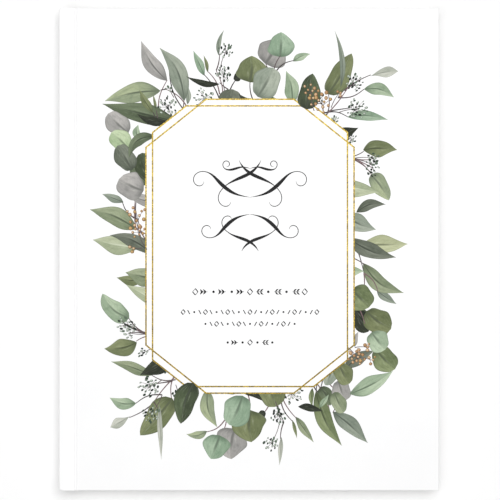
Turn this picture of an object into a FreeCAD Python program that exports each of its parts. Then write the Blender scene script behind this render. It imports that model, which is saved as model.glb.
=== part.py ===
import FreeCAD, Part
import os
import Sketcher

# A case-bound wedding guest book, lying closed on its rear cover.
# X runs from the spine to the fore-edge, Y from the tail to the head, Z up through the thickness.
# The origin is under the centre of the closed book, on the surface that it lies on.

SIZES = {
    "pageWidth": 215.9,
    "pageHeight": 279.4,
    "headSquare": 3.2,
    "foreSquare": 5.1,
    "boardThick": 2.5,
    "spineThick": 2.5,
    "wrapThick": 0.2,
    "turnIn": 16.0,
    "pasteThick": 0.2,
    "pasteInset": 2.4,
    "leafThick": 0.2,
    "leafGap": 0.1,
    "sectionThick": 1.0,
    "sectionNumber": 7,
    "hollowBack": 0.7,
    "liningThick": 0.3,
    "jointWidth": 8.5,
    "grooveWide": 3.0,
    "grooveDeep": 1.3,
    "flyleafStart": 0.5,
    "spineCorner": 1.6,
    "foreCorner": 0.6,
    "bandRadius": 0.55,
    "bandSpare": 0.55,
    "threadRadius": 0.2,
    "threadSpare": 0.1,
    "stitchInset": 12.0,
}

doc = FreeCAD.newDocument("GuestBook")
sheet = doc.addObject("Spreadsheet::Sheet", "Size")
for row, (alias, value) in enumerate(SIZES.items(), start=1):
    sheet.set(f"A{row}", alias)
    sheet.set(f"B{row}", str(value))
    sheet.setAlias(f"B{row}", alias)
doc.recompute()

# Places across the book are measured from the outside of the spine, and heights from the table.
WRAP = "Size.wrapThick"
SPINE_IN = f"({WRAP} + Size.spineThick)"
LINING_IN = f"({SPINE_IN} + Size.hollowBack)"
BLOCK_IN = f"({LINING_IN} + 2 * Size.liningThick)"
BLOCK_OUT = f"({BLOCK_IN} + Size.pageWidth)"
COVER_WIDTH = f"({BLOCK_OUT} + Size.foreSquare)"
COVER_IN = f"({SPINE_IN} + Size.jointWidth)"
FOLD_AXIS = f"({LINING_IN} - Size.threadSpare)"

HALF_COVER = "(Size.pageHeight / 2 + Size.headSquare)"
HALF_PAGE = "(Size.pageHeight / 2)"

COVER_THICK = f"(2 * {WRAP} + Size.boardThick)"
PASTE_TOP = f"({COVER_THICK} + Size.pasteThick)"
FLYLEAF_LOW = f"({PASTE_TOP} + Size.leafGap)"
BLOCK_LOW = f"({FLYLEAF_LOW} + Size.leafThick + Size.leafGap)"
HALF_GAP = "(Size.leafThick + 1.5 * Size.leafGap)"
HALF_HEIGHT = f"({BLOCK_LOW} + Size.sectionNumber * Size.sectionThick / 2 + {HALF_GAP})"
HEIGHT = f"(2 * {HALF_HEIGHT})"

parts = []


def across(place):
    """The row's X of a place measured from the outside of the spine."""
    return f"{place} - {COVER_WIDTH} / 2"


def part_of(thing, label):
    thing.Label = label
    parts.append(thing)
    return thing


def bind(thing, values):
    for name, expression in values.items():
        thing.setExpression(name, expression)
    return thing


def block(name, near, far, half_length, low, high):
    """A plain block between two places across the book and two heights, even about Y = 0."""
    return bind(doc.addObject("Part::Box", name), {
        "Length": f"{far} - {near}",
        "Width": f"2 * {half_length}",
        "Height": f"{high} - {low}",
        "Placement.Base.x": across(near),
        "Placement.Base.y": f"-{half_length}",
        "Placement.Base.z": low,
    })


def origin_plane(body, role):
    return next(plane for plane in body.Origin.OriginFeatures if plane.Role == role)


def new_sketch(body, name, role):
    sketch = body.newObject("Sketcher::SketchObject", name)
    sketch.AttachmentSupport = (origin_plane(body, role), [""])
    sketch.MapMode = "FlatFace"
    return sketch


def plate(name, near, far, half_length, low, high, near_radius, far_radius):
    """A padded plate with its upright corners rounded at the spine side and the fore-edge side."""
    body = doc.addObject("PartDesign::Body", name)
    sketch = new_sketch(body, name + "Outline", "XY_Plane")
    corners = [(0, -100), (200, -100), (200, 100), (0, 100)]
    for start, end in zip(corners, corners[1:] + corners[:1]):
        sketch.addGeometry(Part.LineSegment(FreeCAD.Vector(*start, 0), FreeCAD.Vector(*end, 0)))
    for side in range(4):
        sketch.addConstraint(Sketcher.Constraint("Coincident", side, 2, (side + 1) % 4, 1))
        sketch.addConstraint(Sketcher.Constraint("Horizontal" if side % 2 == 0 else "Vertical", side))
    sketch.addConstraint(Sketcher.Constraint("Symmetric", 3, 1, 3, 2, -1, 1))
    width = sketch.addConstraint(Sketcher.Constraint("DistanceX", 0, 1, 0, 2, 200))
    length = sketch.addConstraint(Sketcher.Constraint("DistanceY", 1, 1, 1, 2, 200))
    sketch.renameConstraint(width, "width")
    sketch.renameConstraint(length, "length")
    bind(sketch, {"Constraints.width": f"{far} - {near}", "Constraints.length": f"2 * {half_length}"})
    pad = body.newObject("PartDesign::Pad", name + "Pad")
    pad.Profile = sketch
    bind(pad, {"Length": f"{high} - {low}"})
    doc.recompute()
    base = pad
    middle = pad.Shape.BoundBox.Center.x
    for side, radius in (("Near", near_radius), ("Far", far_radius)):
        if radius is None:
            continue
        edges = [
            f"Edge{number}"
            for number, edge in enumerate(base.Shape.Edges, start=1)
            if edge.BoundBox.XLength < 1e-6
            and edge.BoundBox.YLength < 1e-6
            and (edge.CenterOfMass.x < middle) == (side == "Near")
            and abs(edge.CenterOfMass.x - middle) > 0.49 * pad.Shape.BoundBox.XLength
        ]
        fillet = body.newObject("PartDesign::Fillet", name + side + "Corners")
        fillet.Base = (base, edges)
        bind(fillet, {"Radius": radius})
        doc.recompute()
        base = fillet
    return bind(body, {"Placement.Base.x": across(near), "Placement.Base.z": low})


def cut(name, solid, tool):
    piece = doc.addObject("Part::Cut", name)
    piece.Base = solid
    piece.Tool = tool
    return piece


def fuse(name, first, second):
    piece = doc.addObject("Part::Fuse", name)
    piece.Base = first
    piece.Tool = second
    return piece


def cover(side, outer, inner, paste):
    """One board with its cloth wrap and pastedown. The three pairs are low and high places in Z:
    the whole cover, the board within it, and the pastedown on its inside."""
    low, high = outer
    board_low, board_high = inner
    paste_low, paste_high = paste
    inset = "Size.pasteInset"
    board_near = f"({COVER_IN} + {WRAP})"
    board_far = f"({COVER_WIDTH} - {WRAP})"
    board_half = f"({HALF_COVER} - {WRAP})"
    radius = "Size.foreCorner"

    board = plate(f"{side}Board", board_near, board_far, board_half, board_low, board_high, None, radius)
    part_of(board, f"{side}_board")

    skin = plate(f"{side}Skin", COVER_IN, COVER_WIDTH, HALF_COVER, low, high, None, f"{radius} + {WRAP}")
    space = plate(f"{side}Space", board_near, board_far, board_half, board_low, board_high, None, radius)
    window_edges = (f"({COVER_IN} + Size.turnIn)", f"({COVER_WIDTH} - Size.turnIn)")
    window_half = f"({HALF_COVER} - Size.turnIn)"
    if side == "rear":
        window_low, window_high = board_high, high
        centre_low, centre_high = board_high, paste_low
    else:
        window_low, window_high = low, board_low
        centre_low, centre_high = paste_high, board_low
    window = block(f"{side}Window", *window_edges, window_half, window_low, window_high)
    wrap = cut(f"{side}Wrap", skin, fuse(f"{side}WrapSpace", space, window))
    part_of(wrap, f"{side}_cover_wrap")

    sheet_near = f"({COVER_IN} + {WRAP})"
    sheet_far = f"({COVER_WIDTH} - {inset})"
    sheet_half = f"({HALF_COVER} - {inset})"
    pasted = block(f"{side}Pasted", sheet_near, sheet_far, sheet_half, paste_low, paste_high)
    centre = block(f"{side}PasteCentre", *window_edges, window_half, centre_low, centre_high)
    part_of(fuse(f"{side}Pastedown", pasted, centre), f"{side}_pastedown")


def rear_cover():
    cover("rear", ("0", COVER_THICK), (WRAP, f"({WRAP} + Size.boardThick)"), (COVER_THICK, PASTE_TOP))


def front_cover():
    cover(
        "front",
        (f"({HEIGHT} - {COVER_THICK})", HEIGHT),
        (f"({HEIGHT} - {WRAP} - Size.boardThick)", f"({HEIGHT} - {WRAP})"),
        (f"({HEIGHT} - {PASTE_TOP})", f"({HEIGHT} - {COVER_THICK})"),
    )


def spine():
    """The spine board stands on edge, and its wrap covers the outside and all four edges."""
    low, high = WRAP, f"({HEIGHT} - {WRAP})"
    half = f"({HALF_COVER} - {WRAP})"
    radius = "Size.spineCorner"
    board = plate("SpineBoard", WRAP, SPINE_IN, half, low, high, radius, None)
    part_of(board, "spine_board")
    skin = plate("SpineSkin", "0", SPINE_IN, HALF_COVER, "0", HEIGHT, f"{radius} + {WRAP}", None)
    space = plate("SpineSpace", WRAP, SPINE_IN, half, low, high, radius, None)
    part_of(cut("SpineWrap", skin, space), "spine_wrap")


def joint_cloth(side, face, sign):
    """The strip of cover cloth between the spine and a board, pressed into a groove beside the board.
    face is the height of its outer surface, and sign is the way to the inside of the book."""
    name = f"{side}JointCloth"
    body = doc.addObject("PartDesign::Body", name)
    sketch = new_sketch(body, name + "Outline", "XZ_Plane")
    width, wide = SIZES["jointWidth"], SIZES["grooveWide"]
    deep, thick = SIZES["grooveDeep"], SIZES["wrapThick"]
    steps = [(0, 0), (width - wide, 0), (width - wide / 2, deep), (width, 0)]
    outline = steps + [(width, thick), (width - wide / 2, deep + thick), (width - wide, thick), (0, thick)]
    points = [FreeCAD.Vector(x, sign * z, 0) for x, z in outline]
    for start, end in zip(points, points[1:] + points[:1]):
        sketch.addGeometry(Part.LineSegment(start, end))
    count = len(points)
    for side_number in range(count):
        sketch.addConstraint(Sketcher.Constraint("Coincident", side_number, 2, (side_number + 1) % count, 1))
    sketch.addConstraint(Sketcher.Constraint("Coincident", 0, 1, -1, 1))
    places = {
        1: ("Size.jointWidth - Size.grooveWide", "0"),
        2: ("Size.jointWidth - Size.grooveWide / 2", "Size.grooveDeep"),
        3: ("Size.jointWidth", "0"),
        4: ("Size.jointWidth", WRAP),
        5: ("Size.jointWidth - Size.grooveWide / 2", f"Size.grooveDeep + {WRAP}"),
        6: ("Size.jointWidth - Size.grooveWide", WRAP),
        7: ("0", WRAP),
    }
    for corner, (along, depth) in places.items():
        x = sketch.addConstraint(Sketcher.Constraint("DistanceX", -1, 1, corner, 1, points[corner].x))
        y = sketch.addConstraint(Sketcher.Constraint("DistanceY", -1, 1, corner, 1, points[corner].y))
        sketch.renameConstraint(x, f"along{corner}")
        sketch.renameConstraint(y, f"depth{corner}")
        bind(sketch, {f"Constraints.along{corner}": along, f"Constraints.depth{corner}": f"{sign} * ({depth})"})
    pad = body.newObject("PartDesign::Pad", name + "Pad")
    pad.Profile = sketch
    pad.Midplane = True
    bind(pad, {"Length": f"2 * {HALF_COVER}"})
    part_of(body, f"{side}_joint_cloth")
    return bind(body, {"Placement.Base.x": across(SPINE_IN), "Placement.Base.z": face})


def leaf(name, label, near, low):
    piece = block(name, near, BLOCK_OUT, HALF_PAGE, low, f"({low} + Size.leafThick)")
    return part_of(piece, label)


def leaves():
    flyleaf_near = f"({COVER_IN} + Size.flyleafStart)"
    leaf("RearFlyleaf", "rear_flyleaf", flyleaf_near, FLYLEAF_LOW)
    leaf("FrontFlyleaf", "front_flyleaf", flyleaf_near, f"({HEIGHT} - {FLYLEAF_LOW} - Size.leafThick)")
    leaf("RearCentreLeaf", "rear_centre_leaf", BLOCK_IN, f"({HALF_HEIGHT} - Size.leafGap / 2 - Size.leafThick)")
    leaf("FrontCentreLeaf", "front_centre_leaf", BLOCK_IN, f"({HALF_HEIGHT} + Size.leafGap / 2)")


def sections():
    """Folded sections, the middle one in two halves that part where the book opens flat."""
    number = SIZES["sectionNumber"]
    middle = number // 2
    for index in range(middle):
        low = f"({BLOCK_LOW} + {index} * Size.sectionThick)"
        piece = block(f"RearSection{index + 1}", BLOCK_IN, BLOCK_OUT, HALF_PAGE, low, f"({low} + Size.sectionThick)")
        part_of(piece, f"section_{number - index}")
        high = f"({HEIGHT} - {low})"
        piece = block(f"FrontSection{index + 1}", BLOCK_IN, BLOCK_OUT, HALF_PAGE, f"({high} - Size.sectionThick)", high)
        part_of(piece, f"section_{index + 1}")
    low = f"({BLOCK_LOW} + {middle} * Size.sectionThick)"
    high = f"({HALF_HEIGHT} - {HALF_GAP})"
    rear_half = block("RearMiddle", BLOCK_IN, BLOCK_OUT, HALF_PAGE, low, high)
    part_of(rear_half, f"section_{middle + 1}_rear_half")
    front_half = block("FrontMiddle", BLOCK_IN, BLOCK_OUT, HALF_PAGE, f"({HEIGHT} - {high})", f"({HEIGHT} - {low})")
    part_of(front_half, f"section_{middle + 1}_front_half")


def spine_linings():
    """Gauze, paper lining and headbands on the back of each half of the sewn pages."""
    clear = "(Size.threadRadius + Size.threadSpare)"
    reach = f"({HALF_HEIGHT} - {BLOCK_LOW} - Size.bandSpare)"
    spans = {
        "rear": (f"({HALF_HEIGHT} - {reach})", f"({HALF_HEIGHT} - {clear})"),
        "front": (f"({HALF_HEIGHT} + {clear})", f"({HALF_HEIGHT} + {reach})"),
    }
    gauze_in = f"({LINING_IN} + Size.liningThick)"
    for side, (low, high) in spans.items():
        gauze = block(f"{side}Gauze", gauze_in, BLOCK_IN, HALF_PAGE, low, high)
        part_of(gauze, f"{side}_spine_gauze")
        paper = block(f"{side}Lining", LINING_IN, gauze_in, HALF_PAGE, low, high)
        part_of(paper, f"{side}_spine_lining")
        for end, sign in (("head", "1"), ("tail", "-1")):
            band = bind(doc.addObject("Part::Cylinder", f"{side}{end}Band"), {
                "Radius": "Size.bandRadius",
                "Height": f"{high} - {low}",
                "Placement.Base.x": across(f"({LINING_IN} + Size.bandRadius)"),
                "Placement.Base.y": f"{sign} * ({HALF_PAGE} + Size.bandRadius)",
                "Placement.Base.z": low,
            })
            part_of(band, f"{side}_{end}band")


def sewing_thread():
    """The thread in the fold of the middle section, on the line that the pages turn about."""
    thread = doc.addObject("Part::Cylinder", "Thread")
    thread.Placement.Rotation = FreeCAD.Rotation(FreeCAD.Vector(1, 0, 0), -90)
    bind(thread, {
        "Radius": "Size.threadRadius",
        "Height": "Size.pageHeight - 2 * Size.stitchInset",
        "Placement.Base.x": across(FOLD_AXIS),
        "Placement.Base.y": f"Size.stitchInset - {HALF_PAGE}",
        "Placement.Base.z": HALF_HEIGHT,
    })
    part_of(thread, "sewing_thread")


rear_cover()
front_cover()
spine()
joint_cloth("rear", "0", 1)
joint_cloth("front", HEIGHT, -1)
leaves()
sections()
spine_linings()
sewing_thread()
doc.recompute()

for thing in doc.Objects:
    if "Invalid" in thing.State or "Error" in thing.State:
        raise RuntimeError(f"{thing.Label} didn't rebuild: {thing.State}")
for piece in parts:
    if piece.Shape.isNull() or not piece.Shape.isValid() or piece.Shape.Volume <= 0:
        raise RuntimeError(f"{piece.Label} has no valid solid")

os.makedirs("parts", exist_ok=True)
for piece in parts:
    piece.Shape.exportStep(f"parts/{piece.Label}.step")
    extent = piece.Shape.BoundBox
    print(f"{piece.Label}: {len(piece.Shape.Solids)} solid, {piece.Shape.Volume:.2f} mm3, "
          f"X {extent.XMin:.3f} {extent.XMax:.3f} Y {extent.YMin:.3f} {extent.YMax:.3f} "
          f"Z {extent.ZMin:.3f} {extent.ZMax:.3f}")
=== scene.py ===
import math
import random

import bpy
from mathutils import Matrix, Vector


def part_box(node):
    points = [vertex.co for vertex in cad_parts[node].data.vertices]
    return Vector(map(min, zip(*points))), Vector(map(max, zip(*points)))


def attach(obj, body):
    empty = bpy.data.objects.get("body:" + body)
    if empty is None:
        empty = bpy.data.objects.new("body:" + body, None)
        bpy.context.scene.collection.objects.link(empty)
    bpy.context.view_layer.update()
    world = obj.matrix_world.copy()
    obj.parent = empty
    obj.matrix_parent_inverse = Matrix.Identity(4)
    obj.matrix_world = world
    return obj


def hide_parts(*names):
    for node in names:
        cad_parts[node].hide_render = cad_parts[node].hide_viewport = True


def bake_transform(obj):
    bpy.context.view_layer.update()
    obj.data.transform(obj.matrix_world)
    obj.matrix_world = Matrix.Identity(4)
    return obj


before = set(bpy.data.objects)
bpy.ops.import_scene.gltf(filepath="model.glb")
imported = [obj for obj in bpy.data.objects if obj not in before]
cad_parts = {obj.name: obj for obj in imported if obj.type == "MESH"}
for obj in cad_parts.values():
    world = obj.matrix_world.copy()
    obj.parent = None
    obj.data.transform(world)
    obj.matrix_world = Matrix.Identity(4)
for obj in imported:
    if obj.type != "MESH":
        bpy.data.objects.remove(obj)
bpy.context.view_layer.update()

mm = 0.001
print("frame loaded")


def low(node):
    return Vector(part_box(node)[0])


def high(node):
    return Vector(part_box(node)[1])


def deselectAll():
    if bpy.context.object and bpy.context.object.mode != "OBJECT":
        bpy.ops.object.mode_set(mode="OBJECT")
    bpy.ops.object.select_all(action="DESELECT")


def pick(obj):
    deselectAll()
    obj.select_set(True)
    bpy.context.view_layer.objects.active = obj
    return obj


def bakePlace(obj):
    pick(obj)
    bpy.ops.object.transform_apply(location=True, rotation=True, scale=True)
    return obj


def joinAll(objs, name):
    deselectAll()
    for obj in objs:
        obj.select_set(True)
    bpy.context.view_layer.objects.active = objs[0]
    if len(objs) > 1:
        bpy.ops.object.join()
    piece = bpy.context.object
    piece.name = name
    piece.data.name = name
    return bakePlace(piece)


def applyModifier(obj, kind, **values):
    modifier = obj.modifiers.new(kind.title(), kind)
    for name, value in values.items():
        setattr(modifier, name, value)
    pick(obj)
    bpy.ops.object.modifier_apply(modifier=modifier.name)
    return obj


def finishPiece(obj, body, slot, material, replaced=()):
    # a piece that crosses a joint has no body here
    obj.data.materials.clear()
    obj.data.materials.append(material)
    if body:
        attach(obj, body)
    if replaced:
        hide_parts(*replaced)
    return obj


def setTint(obj, tint, tone):
    for name, colour in (("leafTint", tint), ("leafTone", tone)):
        layer = obj.data.color_attributes.new(name, "FLOAT_COLOR", "POINT")
        layer.data.foreach_set("color", list(colour) * len(obj.data.vertices))


def rgb(red, green, blue):
    # screen values from 0 to 255 as linear light
    light = [((v / 255 + 0.055) / 1.055) ** 2.4 if v > 10 else v / 3294 for v in (red, green, blue)]
    return (*light, 1)


def addNode(tree, kind, settings=None, **inputs):
    node = tree.nodes.new(kind)
    for name, value in (settings or {}).items():
        setattr(node, name, value)
    for name, value in inputs.items():
        node.inputs[name].default_value = value
    return node


def mathNode(tree, operation, first, second=None, clamp=False):
    node = tree.nodes.new("ShaderNodeMath")
    node.operation = operation
    node.use_clamp = clamp
    for index, value in enumerate((first, second)):
        if value is None:
            continue
        if isinstance(value, (int, float)):
            node.inputs[index].default_value = value
        else:
            tree.links.new(value, node.inputs[index])
    return node.outputs[0]


def times(tree, first, second):
    return mathNode(tree, "MULTIPLY", first, second)


def mixNode(tree, factor, first, second, blend="MIX"):
    node = tree.nodes.new("ShaderNodeMix")
    node.data_type = "RGBA"
    node.blend_type = blend
    node.clamp_factor = True
    for index, value in ((0, factor), (6, first), (7, second)):
        if isinstance(value, (int, float, tuple)):
            node.inputs[index].default_value = value
        else:
            tree.links.new(value, node.inputs[index])
    return node.outputs[2]


def rampNode(tree, value, start, end):
    node = addNode(tree, "ShaderNodeMapRange", {"interpolation_type": "SMOOTHSTEP"})
    node.inputs["From Min"].default_value = start
    node.inputs["From Max"].default_value = end
    tree.links.new(value, node.inputs["Value"])
    return node.outputs["Result"]


def axesOf(tree, vector):
    node = tree.nodes.new("ShaderNodeSeparateXYZ")
    tree.links.new(vector, node.inputs[0])
    return node.outputs


def carried(tree, name):
    # a colour that the mesh itself carries
    return addNode(tree, "ShaderNodeAttribute", {"attribute_name": name}).outputs


def noiseNode(tree, vector, scale, detail=3.0, roughness=0.5):
    node = addNode(tree, "ShaderNodeTexNoise", None, Scale=scale, Detail=detail, Roughness=roughness)
    tree.links.new(vector, node.inputs["Vector"])
    return node.outputs["Fac"]


def newGroup(name, inputs, outputs):
    group = bpy.data.node_groups.new(name, "ShaderNodeTree")
    for socket, kind, value in inputs:
        made = group.interface.new_socket(socket, in_out="INPUT", socket_type=kind)
        made.default_value = value
    for socket, kind in outputs:
        group.interface.new_socket(socket, in_out="OUTPUT", socket_type=kind)
    return group, group.nodes.new("NodeGroupInput"), group.nodes.new("NodeGroupOutput")


def makePaperGroup():
    # soft cloudiness and fine fibres, which every paper and board of the book shares
    group, given, result = newGroup(
        "paperFibre",
        [("Clouds", "NodeSocketFloat", 60.0), ("Fibres", "NodeSocketFloat", 2500.0),
         ("Light", "NodeSocketColor", (1, 1, 1, 1)), ("Dark", "NodeSocketColor", (0.8, 0.8, 0.8, 1))],
        [("Color", "NodeSocketColor"), ("Height", "NodeSocketFloat")])
    place = group.nodes.new("ShaderNodeTexCoord").outputs["Object"]
    clouds = group.nodes.new("ShaderNodeTexNoise")
    fibres = group.nodes.new("ShaderNodeTexNoise")
    fibres.inputs["Detail"].default_value = 6
    fibres.inputs["Distortion"].default_value = 1.5
    for node, socket in ((clouds, "Clouds"), (fibres, "Fibres")):
        group.links.new(place, node.inputs["Vector"])
        group.links.new(given.outputs[socket], node.inputs["Scale"])
    both = times(group, mathNode(group, "ADD", clouds.outputs["Fac"], fibres.outputs["Fac"]), 0.5)
    spread = rampNode(group, both, 0.3, 0.7)
    colour = mixNode(group, spread, given.outputs["Dark"], given.outputs["Light"])
    group.links.new(colour, result.inputs["Color"])
    group.links.new(fibres.outputs["Fac"], result.inputs["Height"])
    return group


paperFibre = makePaperGroup()


def startMaterial(name, roughness=0.5, metallic=0.0, **sockets):
    material = bpy.data.materials.new(name)
    material.use_nodes = True
    tree = material.node_tree
    shader = next(n for n in tree.nodes if n.type == "BSDF_PRINCIPLED")
    shader.inputs["Roughness"].default_value = roughness
    shader.inputs["Metallic"].default_value = metallic
    for socket, value in sockets.items():
        shader.inputs[socket.replace("_", " ")].default_value = value
    place = tree.nodes.new("ShaderNodeTexCoord").outputs["Object"]
    return material, tree, shader, place


def addBump(tree, shader, height, strength, distance):
    bump = addNode(tree, "ShaderNodeBump", None, Strength=strength, Distance=distance)
    tree.links.new(height, bump.inputs["Height"])
    tree.links.new(bump.outputs["Normal"], shader.inputs["Normal"])


def paperMaterial(name, light, dark, roughness, clouds=60.0, fibres=2500.0, bump=0.15, depth=0.03 * mm,
                  shine=0.5):
    material, tree, shader, _ = startMaterial(name, roughness, Specular_IOR_Level=shine)
    group = tree.nodes.new("ShaderNodeGroup")
    group.node_tree = paperFibre
    group.inputs["Clouds"].default_value = clouds
    group.inputs["Fibres"].default_value = fibres
    group.inputs["Light"].default_value = light
    group.inputs["Dark"].default_value = dark
    tree.links.new(group.outputs["Color"], shader.inputs["Base Color"])
    addBump(tree, shader, group.outputs["Height"], bump, depth)
    return material


inkShine = 0.1
inkLight = 1.09        # how much brighter than its own colour the studio shows a flat-lying surface


def inkTone(red, green, blue):
    return tuple(min(1.0, v / inkLight) for v in rgb(red, green, blue)[:3]) + (1,)


# white printed cover sheet under a smooth matt film
coverSheet = paperMaterial("whiteLaminate", (0.93, 0.93, 0.93, 1), (0.905, 0.905, 0.91, 1), 0.42,
                           clouds=35.0, fibres=1800.0, bump=0.06, depth=0.02 * mm, shine=0.3)
endpaper = paperMaterial("endpaper", (0.9, 0.89, 0.86, 1), (0.85, 0.84, 0.81, 1), 0.85, bump=0.3)
greyboard = paperMaterial("greyboard", (0.42, 0.4, 0.37, 1), (0.25, 0.235, 0.22, 1), 0.92,
                          clouds=200.0, fibres=900.0, bump=0.5, depth=0.1 * mm)
kraftLining = paperMaterial("kraftLining", (0.5, 0.36, 0.2, 1), (0.38, 0.26, 0.14, 1), 0.85, bump=0.3)

ruledPage = {"pitch": 11 * mm, "line": 0.22 * mm, "middle": 2 * mm, "halfWide": 90 * mm, "halfHigh": 116 * mm,
             "strength": 0.6, "ink": (0.36, 0.4, 0.36, 1)}
# the edge colour is painted shade for the upright sides of the leaves
pageColours = {"light": (0.9, 0.885, 0.85, 1), "dark": (0.86, 0.845, 0.8, 1), "edge": (0.88, 0.86, 0.81, 1)}


def pageMaterial(name="pagePaper", ruled=True):
    # uncoated paper in thin leaves: sides darkened with painted shade, and faint ruled lines for signatures
    # on its faces
    material, tree, shader, place = startMaterial(name, 0.88)
    group = tree.nodes.new("ShaderNodeGroup")
    group.node_tree = paperFibre
    group.inputs["Light"].default_value = pageColours["light"]
    group.inputs["Dark"].default_value = pageColours["dark"]
    tone = carried(tree, "sheetTone")["Color"]
    facing = axesOf(tree, tree.nodes.new("ShaderNodeTexCoord").outputs["Normal"])
    flat = rampNode(tree, mathNode(tree, "ABSOLUTE", facing["Z"]), 0.3, 0.9)
    # painted shade: the upright sides of the leaves get a darker, creamier colour, made darker again at
    # random from leaf to leaf by sheetTone
    edge = mixNode(tree, 1.0, pageColours["edge"], tone, "MULTIPLY")
    colour = mixNode(tree, flat, edge, group.outputs["Color"])
    if ruled:
        axes = axesOf(tree, place)
        gap = mathNode(tree, "PINGPONG", axes["Y"], ruledPage["pitch"] / 2)
        line = rampNode(tree, gap, ruledPage["line"], 0.3 * ruledPage["line"])
        limits = (("X", ruledPage["middle"], ruledPage["halfWide"]), ("Y", 0.0, ruledPage["halfHigh"]))
        for axis, centre, reach in limits:
            away = mathNode(tree, "ABSOLUTE", mathNode(tree, "SUBTRACT", axes[axis], centre))
            line = times(tree, line, mathNode(tree, "LESS_THAN", away, reach))
        line = times(tree, times(tree, line, flat), ruledPage["strength"])
        colour = mixNode(tree, line, colour, ruledPage["ink"])
    tree.links.new(colour, shader.inputs["Base Color"])
    addBump(tree, shader, group.outputs["Height"], 0.25, 0.03 * mm)
    return material


def weaveMaterial(name, light, dark, pitch, roughness=0.8, bump=0.6):
    # crossed threads from two waves
    material, tree, shader, place = startMaterial(name, roughness)
    waves = []
    for direction in ("Y", "Z"):
        wave = addNode(tree, "ShaderNodeTexWave", {"bands_direction": direction}, Scale=1 / pitch,
                       Distortion=0.6, Detail=1.0)
        tree.links.new(place, wave.inputs["Vector"])
        waves.append(wave.outputs["Fac"])
    cloth = mathNode(tree, "MAXIMUM", *waves)
    tree.links.new(mixNode(tree, cloth, dark, light), shader.inputs["Base Color"])
    addBump(tree, shader, cloth, bump, 0.1 * mm)
    return material


pagePaper = pageMaterial()
endLeaf = pageMaterial("endLeaf", False)
gauzeCloth = weaveMaterial("gauzeCloth", (0.82, 0.78, 0.68, 1), (0.4, 0.36, 0.28, 1), 6 * mm)
linenThread = weaveMaterial("linenThread", (0.86, 0.83, 0.76, 1), (0.6, 0.56, 0.48, 1), 3 * mm)

# how strongly each painted effect shows on a leaf, from 0 to 1, and how fine its patterns are
leafPaint = {"washScale": 210.0, "blotScale": 900.0, "shadedHalf": 0.6, "base": 0.85, "cloud": 0.3,
             "brushed": 0.24, "lifted": 0.34, "blots": 0.25, "veins": 0.22, "veinCount": 9.0,
             "veinSlope": -0.22, "rim": 0.4, "foot": 0.55, "rib": 0.9, "bristles": 15.0, "strokeLength": 3.2,
             "darkest": (0.02, 0.026, 0.02, 1), "palest": (0.78, 0.82, 0.68, 1)}


def leafMaterial():
    # painted leaf: two halves of different depth, a darker base and rim, a fine dark midrib and side veins
    material, tree, shader, place = startMaterial("leafInk", 0.5, Specular_IOR_Level=inkShine)
    tinted = carried(tree, "leafTint")
    tint, darkRib = tinted["Color"], tinted["Alpha"]
    tone = carried(tree, "leafTone")["Color"]
    axes = axesOf(tree, tree.nodes.new("ShaderNodeUVMap").outputs["UV"])
    along, across = axes["X"], axes["Y"]
    wash = noiseNode(tree, place, leafPaint["washScale"], 4.0, 0.6)
    blot = noiseNode(tree, place, leafPaint["blotScale"], 5.0, 0.65)
    reach = mathNode(tree, "ABSOLUTE", mathNode(tree, "SUBTRACT", times(tree, across, 2.0), 1.0))

    def layOver(colour, amount, strength, ink):
        return mixNode(tree, times(tree, amount, leafPaint[strength]), colour, ink)

    half = times(tree, rampNode(tree, across, 0.44, 0.56), leafPaint["shadedHalf"])
    base = rampNode(tree, mathNode(tree, "ADD", along, times(tree, wash, 0.6)), 0.85, 0.3)
    deep = mathNode(tree, "MAXIMUM", half, times(tree, base, leafPaint["base"]))
    cloud = times(tree, rampNode(tree, wash, 0.45, 0.7), leafPaint["cloud"])
    deep = mathNode(tree, "ADD", deep, cloud, clamp=True)
    colour = mixNode(tree, deep, tint, tone)
    dark = mixNode(tree, 0.6, tone, leafPaint["darkest"])
    pale = mixNode(tree, 0.35, tint, leafPaint["palest"])

    slope = mathNode(tree, "ADD", along, times(tree, reach, leafPaint["veinSlope"]))
    lines = addNode(tree, "ShaderNodeCombineXYZ")
    tree.links.new(times(tree, slope, leafPaint["strokeLength"]), lines.inputs["X"])
    tree.links.new(times(tree, across, leafPaint["bristles"]), lines.inputs["Y"])
    tree.links.new(wash, lines.inputs["Z"])
    streak = noiseNode(tree, lines.outputs[0], 1.0)
    colour = layOver(colour, rampNode(tree, streak, 0.5, 0.68), "brushed", dark)
    colour = layOver(colour, rampNode(tree, streak, 0.46, 0.3), "lifted", pale)
    colour = layOver(colour, rampNode(tree, blot, 0.52, 0.72), "blots", tone)

    veins = mathNode(tree, "PINGPONG", times(tree, slope, leafPaint["veinCount"]), 0.5)
    fine = times(tree, rampNode(tree, veins, 0.07, 0.0), rampNode(tree, reach, 0.95, 0.3))
    colour = layOver(colour, fine, "veins", dark)
    colour = layOver(colour, rampNode(tree, reach, 0.84, 1.0), "rim", dark)
    colour = layOver(colour, rampNode(tree, along, 0.26, 0.02), "foot", dark)
    rib = times(tree, rampNode(tree, reach, 0.13, 0.04), rampNode(tree, along, 0.92, 0.4))
    colour = layOver(colour, rib, "rib", mixNode(tree, darkRib, pale, dark))
    tree.links.new(colour, shader.inputs["Base Color"])
    addBump(tree, shader, blot, 0.08, 0.02 * mm)
    return material


def tintMaterial(name, roughness=0.5, spread=0.35, shine=0.5):
    # ink whose colour each piece carries, with a little unevenness
    material, tree, shader, place = startMaterial(name, roughness, Specular_IOR_Level=shine)
    blot = noiseNode(tree, place, 1200.0, 4.0, 0.6)
    uneven = times(tree, rampNode(tree, blot, 0.35, 0.7), spread)
    shade = mixNode(tree, uneven, carried(tree, "leafTint")["Color"], (0.01, 0.01, 0.01, 1))
    tree.links.new(shade, shader.inputs["Base Color"])
    addBump(tree, shader, blot, 0.1, 0.02 * mm)
    return material
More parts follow.
